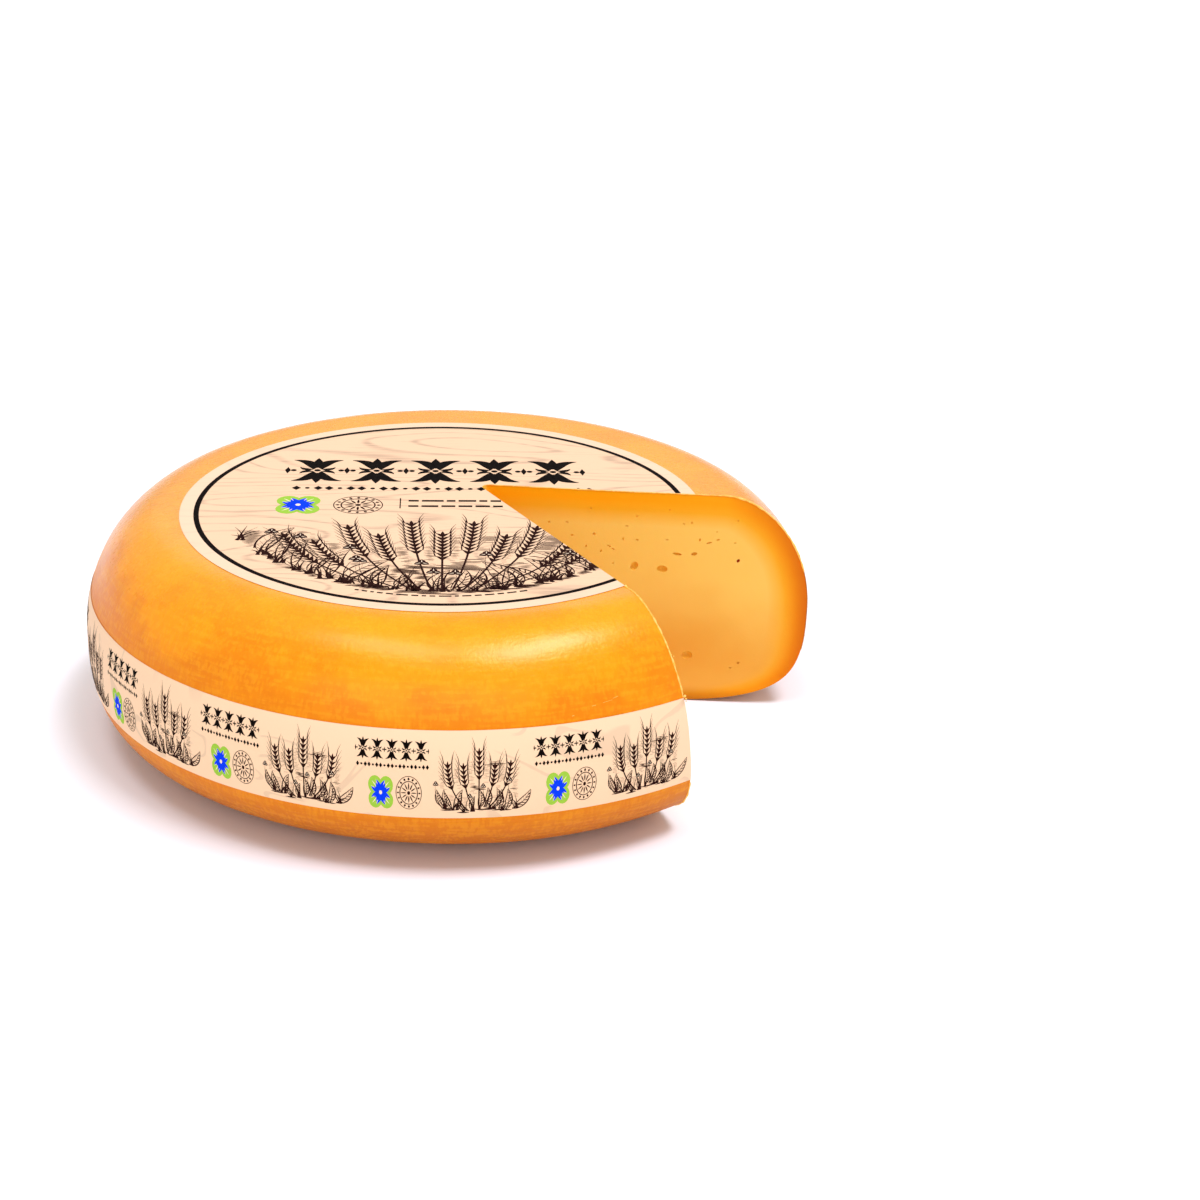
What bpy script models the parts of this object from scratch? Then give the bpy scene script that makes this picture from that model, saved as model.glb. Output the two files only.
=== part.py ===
# A whole hard cheese with one wedge cut out: the cheese itself, a round paper label on its flat
# top, and a paper band round its side.
# Metres, +Z up. The origin is the middle of the flat bottom, on the axis that the wheel is turned
# round. The notch opens towards +X and -Y.
import math

import bmesh
import bpy
from mathutils import Vector

# The wheel, as the outline of its side: a flat top and a flat bottom joined by two curves that
# meet upright at the widest height. Each pull is how far a curve keeps its end's direction.
WHEEL_RADIUS = 0.180
WHEEL_HEIGHT = 0.1126
WIDEST_HEIGHT = 0.0552
TOP_FLAT_RADIUS = 0.1368
BOTTOM_FLAT_RADIUS = 0.0998
TOP_FLAT_PULL = 0.0196
UPPER_SIDE_PULL = 0.0341
LOWER_SIDE_PULL = 0.0388
BOTTOM_FLAT_PULL = 0.0744

# The notch, seen from above. Its two knife cuts start at one corner near the middle, which is
# given at the height of the flat top. A lean is how far a cut is off upright: both cuts come
# closer together towards the bottom.
NOTCH_CORNER = (0.0120, 0.0264)
NEAR_CUT_ANGLE = math.radians(-63.1)
FAR_CUT_ANGLE = math.radians(-6.7)
NEAR_CUT_LEAN = math.radians(7.8)
FAR_CUT_LEAN = math.radians(1.5)
NOTCH_CORNER_ROUNDING = 0.0035
NOTCH_REACH = 0.230
NOTCH_MARGIN = 0.010

# Eyes in the paste that the knife opened: distance along the cut from the corner, height above
# the bottom, and radius.
FAR_CUT_EYES = [
    (0.0805, 0.0726, 0.0022),
    (0.0947, 0.0717, 0.0027),
    (0.1020, 0.0802, 0.0017),
    (0.1106, 0.0806, 0.0014),
    (0.1092, 0.0253, 0.0028),
]
NEAR_CUT_EYES = [
    (0.0580, 0.0640, 0.0024),
    (0.0960, 0.0790, 0.0027),
    (0.1180, 0.0560, 0.0018),
    (0.0810, 0.0330, 0.0022),
]
EYE_SINK = 0.25

LABEL_RADIUS = 0.1278
LABEL_CENTRE = (-0.0048, -0.0085)
BAND_TOP = 0.0738
BAND_BOTTOM = 0.0312
PAPER_THICKNESS = 0.0003
PAPER_GAP = 0.0003

TURNED_STEPS = 96
CURVE_STEPS = 11
BAND_ROWS = 8
CORNER_STEPS = 5
EYE_SEGMENTS = 12
EYE_RINGS = 8
MERGE_DISTANCE = 0.0001

RIND = 0
PASTE = 1


def clear_scene():
    for old in list(bpy.data.objects):
        bpy.data.objects.remove(old, do_unlink=True)


def new_collection(name):
    collection = bpy.data.collections.new(name)
    bpy.context.scene.collection.children.link(collection)
    return collection


def new_material(name, colour, roughness):
    material = bpy.data.materials.new(name)
    material.use_nodes = True
    shader = material.node_tree.nodes["Principled BSDF"]
    shader.inputs["Base Color"].default_value = (*colour, 1.0)
    shader.inputs["Roughness"].default_value = roughness
    shader.inputs["Metallic"].default_value = 0.0
    return material


def new_object(name, mesh, collection, materials):
    for material in materials:
        mesh.materials.append(material)
    piece = bpy.data.objects.new(name, mesh)
    collection.objects.link(piece)
    return piece


def curve_points(start, start_pull, end_pull, end, steps):
    # A cubic curve from start to end, bent towards the two pulls.
    points = []
    for step in range(steps + 1):
        t = step / steps
        s = 1 - t
        weights = (s * s * s, 3 * s * s * t, 3 * s * t * t, t * t * t)
        controls = (start, start_pull, end_pull, end)
        points.append(tuple(sum(w * c[axis] for w, c in zip(weights, controls)) for axis in (0, 1)))
    return points


def side_outline(steps):
    # Radius and height of the side, from the edge of the flat top to that of the flat bottom.
    upper = curve_points(
        (TOP_FLAT_RADIUS, WHEEL_HEIGHT),
        (TOP_FLAT_RADIUS + TOP_FLAT_PULL, WHEEL_HEIGHT),
        (WHEEL_RADIUS, WIDEST_HEIGHT + UPPER_SIDE_PULL),
        (WHEEL_RADIUS, WIDEST_HEIGHT),
        steps,
    )
    lower = curve_points(
        (WHEEL_RADIUS, WIDEST_HEIGHT),
        (WHEEL_RADIUS, WIDEST_HEIGHT - LOWER_SIDE_PULL),
        (BOTTOM_FLAT_RADIUS + BOTTOM_FLAT_PULL, 0.0),
        (BOTTOM_FLAT_RADIUS, 0.0),
        steps,
    )
    return upper + lower[1:]


def side_radius(height, outline):
    # Radius of the side at one height, read between two points of the outline.
    for (radius_a, height_a), (radius_b, height_b) in zip(outline, outline[1:]):
        if height_b <= height <= height_a:
            share = (height_a - height) / (height_a - height_b)
            return radius_a + share * (radius_b - radius_a)
    raise ValueError("height is outside the side")


def outline_mesh(name, outline):
    mesh = bpy.data.meshes.new(name)
    edges = [(index, index + 1) for index in range(len(outline) - 1)]
    mesh.from_pydata([(radius, 0.0, height) for radius, height in outline], edges, [])
    return mesh


def turn(piece):
    screw = piece.modifiers.new("turn", "SCREW")
    screw.axis = "Z"
    screw.angle = math.tau
    screw.steps = TURNED_STEPS
    screw.render_steps = TURNED_STEPS
    screw.use_merge_vertices = True
    screw.merge_threshold = MERGE_DISTANCE
    screw.use_smooth_shade = True


def cut(piece, cutter):
    boolean = piece.modifiers.new("cut by " + cutter.name, "BOOLEAN")
    boolean.operation = "DIFFERENCE"
    boolean.solver = "EXACT"
    boolean.object = cutter


def cut_direction(angle):
    return Vector((math.cos(angle), math.sin(angle), 0.0))


def cut_shift(angle, lean, height):
    # How far a leaning cut has moved into the notch at a height below the flat top.
    sideways = Vector((-math.sin(angle), math.cos(angle), 0.0))
    return sideways * math.tan(lean) * (WHEEL_HEIGHT - height)


def cut_start(angle, lean, height):
    corner = Vector((*NOTCH_CORNER, height))
    return corner + cut_shift(angle, lean, height)


def notch_outline(height):
    # The notch at one height: two straight cuts and a small arc where they meet.
    near_start = cut_start(NEAR_CUT_ANGLE, NEAR_CUT_LEAN, height)
    far_start = cut_start(FAR_CUT_ANGLE, -FAR_CUT_LEAN, height)
    near_way = cut_direction(NEAR_CUT_ANGLE)
    far_way = cut_direction(FAR_CUT_ANGLE)
    between = far_start - near_start
    turn_size = near_way.x * far_way.y - near_way.y * far_way.x
    along_near = (between.x * far_way.y - between.y * far_way.x) / turn_size
    corner = near_start + near_way * along_near

    half_opening = (FAR_CUT_ANGLE - NEAR_CUT_ANGLE) / 2
    middle_way = cut_direction((FAR_CUT_ANGLE + NEAR_CUT_ANGLE) / 2)
    arc_centre = corner + middle_way * (NOTCH_CORNER_ROUNDING / math.sin(half_opening))
    points = []
    for step in range(CORNER_STEPS + 1):
        share = step / CORNER_STEPS
        start_angle = FAR_CUT_ANGLE + math.pi / 2
        end_angle = NEAR_CUT_ANGLE + math.pi * 3 / 2
        angle = start_angle + share * (end_angle - start_angle)
        points.append(arc_centre + cut_direction(angle) * NOTCH_CORNER_ROUNDING)
    points.append(corner + near_way * NOTCH_REACH)
    points.append(corner + middle_way * NOTCH_REACH)
    points.append(corner + far_way * NOTCH_REACH)
    return points


def notch_cutter(collection, materials):
    # Between two heights the outline changes, because the cuts lean, so the sides are a loft.
    mesh = bpy.data.meshes.new("notch_cutter")
    shape = bmesh.new()
    lower = [shape.verts.new(point) for point in notch_outline(-NOTCH_MARGIN)]
    upper = [shape.verts.new(point) for point in notch_outline(WHEEL_HEIGHT + NOTCH_MARGIN)]
    shape.faces.new(reversed(lower))
    shape.faces.new(upper)
    for index in range(len(lower)):
        after = (index + 1) % len(lower)
        shape.faces.new((lower[index], lower[after], upper[after], upper[index]))
    for face in shape.faces:
        face.material_index = PASTE
    bmesh.ops.recalc_face_normals(shape, faces=shape.faces)
    shape.to_mesh(mesh)
    shape.free()
    return hidden(new_object("notch_cutter", mesh, collection, materials))


def eyes_cutter(collection, materials):
    mesh = bpy.data.meshes.new("eyes_cutter")
    shape = bmesh.new()
    cuts = (
        (FAR_CUT_EYES, FAR_CUT_ANGLE, -FAR_CUT_LEAN, 1),
        (NEAR_CUT_EYES, NEAR_CUT_ANGLE, NEAR_CUT_LEAN, -1),
    )
    for eyes, angle, lean, into_paste in cuts:
        inwards = Vector((-math.sin(angle), math.cos(angle), 0.0)) * into_paste
        for along, height, radius in eyes:
            centre = cut_start(angle, lean, height) + cut_direction(angle) * along
            centre += inwards * radius * EYE_SINK
            ball = bmesh.ops.create_uvsphere(
                shape, u_segments=EYE_SEGMENTS, v_segments=EYE_RINGS, radius=radius
            )
            bmesh.ops.translate(shape, verts=ball["verts"], vec=centre)
    for face in shape.faces:
        face.material_index = PASTE
    shape.to_mesh(mesh)
    shape.free()
    return hidden(new_object("eyes_cutter", mesh, collection, materials))


def hidden(cutter):
    cutter.hide_render = True
    cutter.display_type = "WIRE"
    return cutter


def cheese_wheel(collection, materials, cutters):
    side = side_outline(CURVE_STEPS)
    outline = [(0.0, WHEEL_HEIGHT)] + side + [(0.0, 0.0)]
    wheel = new_object("cheese_wheel", outline_mesh("cheese_wheel", outline), collection, materials)
    turn(wheel)
    for cutter in cutters:
        cut(wheel, cutter)
    return wheel


def top_label(collection, materials, cutter):
    mesh = bpy.data.meshes.new("top_label")
    shape = bmesh.new()
    bmesh.ops.create_cone(
        shape,
        cap_ends=True,
        segments=TURNED_STEPS,
        radius1=LABEL_RADIUS,
        radius2=LABEL_RADIUS,
        depth=PAPER_THICKNESS,
    )
    height = WHEEL_HEIGHT + PAPER_GAP + PAPER_THICKNESS / 2
    bmesh.ops.translate(shape, verts=shape.verts, vec=(*LABEL_CENTRE, height))
    shape.to_mesh(mesh)
    shape.free()
    label = new_object("top_label", mesh, collection, materials)
    cut(label, cutter)
    return label


def side_band(collection, materials, cutter):
    # The band follows the bulge of the side, a paper gap away from it.
    side = side_outline(CURVE_STEPS)
    outline = []
    for row in range(BAND_ROWS + 1):
        height = BAND_TOP + (BAND_BOTTOM - BAND_TOP) * row / BAND_ROWS
        outline.append((side_radius(height, side) + PAPER_GAP, height))
    band = new_object("side_band", outline_mesh("side_band", outline), collection, materials)
    turn(band)
    wall = band.modifiers.new("paper thickness", "SOLIDIFY")
    wall.thickness = PAPER_THICKNESS
    wall.offset = 1.0
    cut(band, cutter)
    return band


def main():
    clear_scene()
    parts = new_collection("cheese_wheel_parts")
    cutters = new_collection("cutters")
    rind = new_material("orange_rind", (0.93, 0.36, 0.02), 0.38)
    paste = new_material("yellow_paste", (0.90, 0.44, 0.09), 0.55)
    label_paper = new_material("label_paper", (0.90, 0.74, 0.52), 0.70)
    band_paper = new_material("band_paper", (0.90, 0.72, 0.50), 0.70)

    notch = notch_cutter(cutters, (rind, paste))
    eyes = eyes_cutter(cutters, (rind, paste))
    cheese_wheel(parts, (rind, paste), (notch, eyes))
    top_label(parts, (label_paper,), notch)
    side_band(parts, (band_paper,), notch)


main()
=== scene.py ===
import math
import random

import bmesh
import bpy
from mathutils import Matrix, Vector, noise


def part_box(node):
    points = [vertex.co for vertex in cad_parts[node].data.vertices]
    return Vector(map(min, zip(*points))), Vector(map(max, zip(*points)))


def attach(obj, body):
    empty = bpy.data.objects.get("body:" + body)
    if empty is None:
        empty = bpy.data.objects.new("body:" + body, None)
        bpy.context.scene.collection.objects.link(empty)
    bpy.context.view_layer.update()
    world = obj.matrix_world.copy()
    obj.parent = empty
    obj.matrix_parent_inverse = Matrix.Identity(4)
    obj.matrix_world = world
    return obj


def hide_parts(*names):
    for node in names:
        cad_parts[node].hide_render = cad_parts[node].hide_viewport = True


# A cut wheel of hard cheese with a paper label on top and a printed paper band round its side.
# Lengths are metres in the model's own frame. Screen colours are 0 to 255, as a picture shows them.

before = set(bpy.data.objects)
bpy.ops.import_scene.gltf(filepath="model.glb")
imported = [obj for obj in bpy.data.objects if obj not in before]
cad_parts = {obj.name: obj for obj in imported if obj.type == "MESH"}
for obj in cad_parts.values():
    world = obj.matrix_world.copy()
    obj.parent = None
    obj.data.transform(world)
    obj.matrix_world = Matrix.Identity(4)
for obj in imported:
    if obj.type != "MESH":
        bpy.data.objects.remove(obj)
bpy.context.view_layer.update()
print("frame loaded")


# Colours, nodes and pieces

millimetre = 0.001
studioLight = 1.04  # a fully lit surface shows its colour this much brighter


def fromScreen(red, green, blue, light=1.0):  # the surface colour that this light shows so
    def straight(value):
        share = value / 255
        return (share / 12.92 if share <= 0.04045 else ((share + 0.055) / 1.055) ** 2.4) / light
    return (straight(red), straight(green), straight(blue), 1.0)


def inStudio(red, green, blue):
    return fromScreen(red, green, blue, studioLight)


class Wire:  # one output of a node, so that sums on it read as plain maths
    def __init__(self, board, socket):
        self.board = board
        self.socket = socket

    def of(self, name):
        return Wire(self.board, self.socket.node.outputs[name])

    def maths(self, operation, *others):
        given = dict(enumerate((self, *others)))
        return self.board.add("ShaderNodeMath", {"operation": operation}, given)

    def __add__(self, other):
        return self.maths("ADD", other)

    __radd__ = __add__

    def __mul__(self, other):
        return self.maths("MULTIPLY", other)

    __rmul__ = __mul__

    def __sub__(self, other):
        return self.maths("SUBTRACT", other)

    def __rsub__(self, other):
        return self.board.add("ShaderNodeMath", {"operation": "SUBTRACT"}, {0: other, 1: self})

    def __truediv__(self, other):
        return self.maths("DIVIDE", other)

    def between(self, low, high):  # 0 at low, 1 at high, eased at both ends
        settings = {"interpolation_type": "SMOOTHSTEP"}
        given = {"Value": self, "From Min": low, "From Max": high}
        return self.board.add("ShaderNodeMapRange", settings, given)


class Board:  # a node tree that is being filled
    def __init__(self, tree):
        self.tree = tree
        tree.nodes.clear()

    def add(self, kind, settings=None, inputs=None, output=0):
        node = self.tree.nodes.new(kind)
        for name, value in (settings or {}).items():
            if name == "stops":
                self.setStops(node.color_ramp, value)
            else:
                setattr(node, name, value)
        for name, value in (inputs or {}).items():
            if isinstance(value, Wire):
                self.tree.links.new(value.socket, node.inputs[name])
            else:
                node.inputs[name].default_value = value
        return Wire(self, node.outputs[output]) if len(node.outputs) else node

    def setStops(self, ramp, stops):
        while len(ramp.elements) < len(stops):
            ramp.elements.new(1.0)
        for element, (place, colour) in zip(ramp.elements, stops):
            element.position = place
            element.color = colour

    def mix(self, share, first, second):  # colours
        given = {0: share, 6: first, 7: second}
        return self.add("ShaderNodeMix", {"data_type": "RGBA"}, given, output=2)

    def onPiece(self):  # where a point of the surface is, in the model's frame
        return self.add("ShaderNodeTexCoord").of("Object")

    def heightOf(self, place):
        return self.add("ShaderNodeSeparateXYZ", None, {0: place}).of("Z")

    def stretched(self, place, *scale):
        return self.add("ShaderNodeMapping", None, {"Vector": place, "Scale": scale})

    def scaled(self, vector, amount):
        return self.add("ShaderNodeVectorMath", {"operation": "SCALE"}, {0: vector, "Scale": amount})

    def vectors(self, operation, first, second):
        return self.add("ShaderNodeVectorMath", {"operation": operation}, {0: first, 1: second})

    def stored(self, kind, name):  # what a geometry tree finds on its points or faces
        return self.add("GeometryNodeInputNamedAttribute", {"data_type": kind}, {"Name": name})

    def realized(self, geometry):
        return self.add("GeometryNodeRealizeInstances", None, {0: geometry})

    def noise(self, place, scale, detail=2.0, roughness=0.5, distortion=0.0):
        given = {"Vector": place, "Scale": scale, "Detail": detail,
                 "Roughness": roughness, "Distortion": distortion}
        return self.add("ShaderNodeTexNoise", None, given)


def newMaterial(name):
    material = bpy.data.materials.new(name)
    material.use_nodes = True
    return material, Board(material.node_tree)


def finishMaterial(board, surface):
    shader = board.add("ShaderNodeBsdfPrincipled", None, surface)
    board.add("ShaderNodeOutputMaterial", None, {"Surface": shader})


def finishCheese(board, look, relief, surface):  # what rind and paste have in common
    bump = board.add("ShaderNodeBump", None, {"Strength": look["bump"],
                                              "Distance": look["bumpDepth"], "Height": relief})
    finishMaterial(board, {
        "Specular IOR Level": look["gloss"],
        "Specular Tint": look["sheen"],
        "Subsurface Weight": look["glow"],
        "Subsurface Radius": look["glowTint"],
        "Subsurface Scale": look["glowDepth"],
        "Normal": bump,
        **surface,
    })


def newTree(name, sockets):  # a geometry tree with named inputs
    tree = bpy.data.node_groups.new(name, "GeometryNodeTree")
    for label, kind in sockets.items():
        tree.interface.new_socket(label, in_out="INPUT", socket_type="NodeSocket" + kind)
    tree.interface.new_socket("Geometry", in_out="OUTPUT", socket_type="NodeSocketGeometry")
    board = Board(tree)
    return board, board.add("NodeGroupInput")


def closeTree(board, geometry, material):  # every tree ends in plain mesh with its material
    painted = board.add("GeometryNodeSetMaterial", None,
                        {"Geometry": board.realized(geometry), "Material": material})
    board.add("NodeGroupOutput", None, {0: painted})
    return board.tree


def runTree(piece, tree, values):
    modifier = piece.modifiers.new(tree.name, "NODES")
    modifier.node_group = tree
    for item in tree.interface.items_tree:
        if item.in_out == "INPUT" and item.name in values:
            modifier[item.identifier] = values[item.name]
    settle(piece)


def settle(piece):  # the shape as its modifiers leave it becomes its plain mesh
    depsgraph = bpy.context.evaluated_depsgraph_get()
    mesh = bpy.data.meshes.new_from_object(piece.evaluated_get(depsgraph), depsgraph=depsgraph)
    piece.modifiers.clear()
    old = piece.data
    piece.data = mesh
    bpy.data.meshes.remove(old)
    mesh.name = piece.name


def newPiece(name, points, faces, *materials, edges=()):
    mesh = bpy.data.meshes.new(name)
    mesh.from_pydata(points, edges, faces)
    for material in materials:
        mesh.materials.append(material)
    piece = bpy.data.objects.new(name, mesh)
    bpy.context.scene.collection.objects.link(piece)
    return piece


def discFaces(rings, steps):  # a fan round the first point, then rings of quads
    faces = []
    for step in range(steps):
        after = (step + 1) % steps
        faces.append((0, 1 + step, 1 + after))
        for ring in range(rings - 1):
            inner, outer = 1 + ring * steps, 1 + (ring + 1) * steps
            faces.append((inner + step, outer + step, outer + after, inner + after))
    return faces


def thicken(piece, thickness):  # inwards from the outer face
    wall = piece.modifiers.new("thickness", "SOLIDIFY")
    wall.thickness = thickness
    wall.offset = -1.0
    settle(piece)


def smooth(piece, degrees):
    piece.data.shade_smooth()
    piece.data.set_sharp_from_angle(angle=math.radians(degrees))


# The round form of the wheel, which every piece lies on

wheel = {
    "widestHeight": 0.0552,  # where the side stands upright
    "topFlat": 0.1368,
    "bottomFlat": 0.0998,
    "topPull": 0.0196,  # how far the side's curves keep the direction of their ends
    "upperPull": 0.0341,
    "lowerPull": 0.0388,
    "bottomPull": 0.0744,
    "turnSteps": 360,
    "curveRows": 30,
    "flatRows": 8,
    "swell": 0.00022,  # broad unevenness of a pressed cheese
    "swellSize": 0.075,
    "dimple": 0.00007,
    "dimpleSize": 0.014,
    "bottomEase": 0.004,  # the underside stays flat up to here
}
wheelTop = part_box("cheese_wheel")[1]
wheelRadius = wheelTop.y
wheelHeight = wheelTop.z


def bendPoints(start, startPull, endPull, end, steps):
    points = []
    for step in range(steps + 1):
        t = step / steps
        s = 1 - t
        weights = (s * s * s, 3 * s * s * t, 3 * s * t * t, t * t * t)
        controls = (start, startPull, endPull, end)
        points.append(tuple(sum(w * c[axis] for w, c in zip(weights, controls)) for axis in (0, 1)))
    return points


def sideOutline(rows):  # radius and height, from the top flat's edge down to the bottom flat's
    widest = wheel["widestHeight"]
    upper = bendPoints((wheel["topFlat"], wheelHeight),
                       (wheel["topFlat"] + wheel["topPull"], wheelHeight),
                       (wheelRadius, widest + wheel["upperPull"]),
                       (wheelRadius, widest), rows)
    lower = bendPoints((wheelRadius, widest),
                       (wheelRadius, widest - wheel["lowerPull"]),
                       (wheel["bottomFlat"] + wheel["bottomPull"], 0.0),
                       (wheel["bottomFlat"], 0.0), rows)
    return upper + lower[1:]


def withNormals(outline):  # adds which way the skin faces at each point of the outline
    stations = []
    for index, (radius, height) in enumerate(outline):
        before = outline[max(index - 1, 0)]
        after = outline[min(index + 1, len(outline) - 1)]
        facing = Vector((before[1] - after[1], after[0] - before[0])).normalized()
        stations.append((radius, height, facing.x, facing.y))
    return stations


def outlineAt(height, stations):  # the station at one height of the side
    for upper, lower in zip(stations, stations[1:]):
        if lower[1] <= height <= upper[1]:
            share = (upper[1] - height) / (upper[1] - lower[1])
            return tuple(a + share * (b - a) for a, b in zip(upper, lower))
    raise ValueError("no side at this height")


def sinkAt(x, y, z, dimples):  # how far the real skin lies inside the true round
    broad = noise.noise(Vector((x, y, z)) / wheel["swellSize"])
    sink = wheel["swell"] * (1 + broad)
    if dimples:
        sink += wheel["dimple"] * (1 + noise.noise(Vector((x, y, z)) / wheel["dimpleSize"]))
    return sink * min(z / wheel["bottomEase"], 1.0)


def skinPoint(turn, station, lift=0.0, dimples=True):
    radius, height, outward, upward = station
    x, y = radius * math.cos(turn), radius * math.sin(turn)
    away = lift - sinkAt(x, y, height, dimples)
    grown = radius + outward * away
    return (grown * math.cos(turn), grown * math.sin(turn), height + upward * away)


def turnedPoints(stations, steps, lift, dimples):  # rows from the top down, faces outward
    points = [skinPoint(math.tau * step / steps, station, lift, dimples)
              for station in stations for step in range(steps)]
    faces = []
    for row in range(len(stations) - 1):
        for step in range(steps):
            after = (step + 1) % steps
            upper, lower = row * steps, (row + 1) * steps
            faces.append((upper + step, lower + step, lower + after, upper + after))
    return points, faces


sideStations = withNormals(sideOutline(wheel["curveRows"]))


# The notch: two knife cuts from a rounded corner. Both lean, so it narrows towards the bottom.

notch = {
    "corner": (0.0120, 0.0264),  # at the height of the top
    "nearTurn": math.radians(-63.1),
    "farTurn": math.radians(-6.7),
    "nearLean": math.radians(7.8),
    "farLean": math.radians(-1.5),
    "rounding": 0.0035,
    "roundingSteps": 5,
    "reach": 0.215,
    "margin": 0.008,
    "cell": 0.0025,  # mesh size of the cut faces
    "wander": 0.00022,  # how far the knife strayed
    "wanderSize": 0.040,
    "steady": 0.012,  # below the top edge, before the knife strays
    "sheetReach": 0.020,  # a sheet is cut from this far behind the corner
    "weld": 1e-7,  # points closer than this are one
}
middleTurn = (notch["farTurn"] + notch["nearTurn"]) / 2
halfOpening = (notch["farTurn"] - notch["nearTurn"]) / 2


def wayAlong(turn):
    return Vector((math.cos(turn), math.sin(turn), 0.0))


def cutStart(turn, lean, height):  # where a cut would start if the corner weren't rounded
    shift = wayAlong(turn + math.pi / 2) * math.tan(lean) * (wheelHeight - height)
    return Vector((*notch["corner"], height)) + shift


def sharpCorner(height):
    near = cutStart(notch["nearTurn"], notch["nearLean"], height)
    far = cutStart(notch["farTurn"], notch["farLean"], height)
    nearWay, farWay = wayAlong(notch["nearTurn"]), wayAlong(notch["farTurn"])
    between = far - near
    along = between.cross(farWay).z / nearWay.cross(farWay).z
    return near + nearWay * along


def cornerArc(height):  # from the far cut round to the near one
    away = notch["rounding"] / math.sin(halfOpening)
    centre = sharpCorner(height) + wayAlong(middleTurn) * away
    first = notch["farTurn"] + math.pi / 2
    sweep = math.pi - 2 * halfOpening
    points = []
    for step in range(notch["roundingSteps"] + 1):
        turn = first + sweep * step / notch["roundingSteps"]
        points.append(centre + wayAlong(turn) * notch["rounding"])
    return points


def strayed(point, turn, start):  # a point of a cut face, moved as the knife strayed
    along = (point - start).dot(wayAlong(turn))
    size = notch["wanderSize"]
    steady = min(max((wheelHeight - point.z) / notch["steady"], 0.0), 1.0)
    amount = noise.noise(Vector((along / size, point.z / size, turn))) * notch["wander"] * steady
    return point + wayAlong(turn + math.pi / 2) * amount


def cutterRow(height):
    arc = cornerArc(height)
    corner = sharpCorner(height)
    cells = round(notch["reach"] / notch["cell"])
    row = []
    for cell in range(cells, 0, -1):
        share = cell / cells
        point = arc[0].lerp(corner + wayAlong(notch["farTurn"]) * notch["reach"], share)
        row.append(strayed(point, notch["farTurn"], corner))
    row += arc
    for cell in range(1, cells + 1):
        share = cell / cells
        point = arc[-1].lerp(corner + wayAlong(notch["nearTurn"]) * notch["reach"], share)
        row.append(strayed(point, notch["nearTurn"], corner))
    row.append(corner + wayAlong(middleTurn) * notch["reach"])
    return row


def makeNotchCutter(materials):
    low, high = -notch["margin"], wheelHeight + notch["margin"]
    rows = round((high - low) / notch["cell"])
    points = []
    for row in range(rows + 1):
        points += cutterRow(low + (high - low) * row / rows)
    width = len(points) // (rows + 1)
    faces = [tuple(range(width))[::-1], tuple(range(rows * width, (rows + 1) * width))]
    for row in range(rows):
        for step in range(width):
            after = (step + 1) % width
            lower, upper = row * width, (row + 1) * width
            faces.append((lower + step, lower + after, upper + after, upper + step))
    return asCutter(newPiece("notchCutter", points, faces, *materials))


def asCutter(cutter):  # its faces bring the second material, the paste
    shape = bmesh.new()
    shape.from_mesh(cutter.data)
    bmesh.ops.recalc_face_normals(shape, faces=shape.faces)
    for face in shape.faces:
        face.material_index = 1
    shape.to_mesh(cutter.data)
    shape.free()
    cutter.hide_render = True
    return cutter


def carve(piece, cutter):
    boolean = piece.modifiers.new(cutter.name, "BOOLEAN")
    boolean.operation = "DIFFERENCE"
    boolean.solver = "EXACT"
    boolean.object = cutter
    settle(piece)
    bpy.data.objects.remove(cutter)


def notchSides(height):  # each flat side: a point on it, and the way that leads out of the notch
    arc = cornerArc(height)
    sides = []
    for turn, lean, outward in ((notch["farTurn"], notch["farLean"], 1.0),
                                (notch["nearTurn"], notch["nearLean"], -1.0)):
        start = cutStart(turn, lean, height)
        slope = Vector((0.0, 0.0, 1.0)) - wayAlong(turn + math.pi / 2) * math.tan(lean)
        facing = wayAlong(turn).cross(slope).normalized()
        if facing.dot(wayAlong(turn + math.pi / 2)) * outward < 0:
            facing.negate()
        sides.append((start, facing))
    for first, second in zip(arc, arc[1:]):
        along = (second - first).normalized()
        facing = Vector((-along.y, along.x, 0.0))
        if facing.dot(wayAlong(middleTurn)) > 0:
            facing.negate()
        sides.append((first, facing))
    return sides


def openNotch(piece, height):  # takes the notch out of a thin sheet
    shape = bmesh.new()
    shape.from_mesh(piece.data)
    bmesh.ops.remove_doubles(shape, verts=shape.verts, dist=notch["weld"])
    sides = notchSides(height)
    corner = sharpCorner(height)
    ahead = wayAlong(middleTurn)
    for point, facing in sides:
        near = [face for face in shape.faces
                if (face.calc_center_median() - corner).dot(ahead) > -notch["sheetReach"]]
        around = {item for face in near for item in (*face.verts, *face.edges)}
        bmesh.ops.bisect_plane(shape, geom=list(around) + near, dist=notch["weld"],
                               plane_co=point, plane_no=facing)
    gone = [face for face in shape.faces
            if all((face.calc_center_median() - point).dot(facing) < 0 for point, facing in sides)]
    bmesh.ops.delete(shape, geom=gone, context="FACES")
    shape.to_mesh(piece.data)
    shape.free()


# The finish of the cheese

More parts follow.
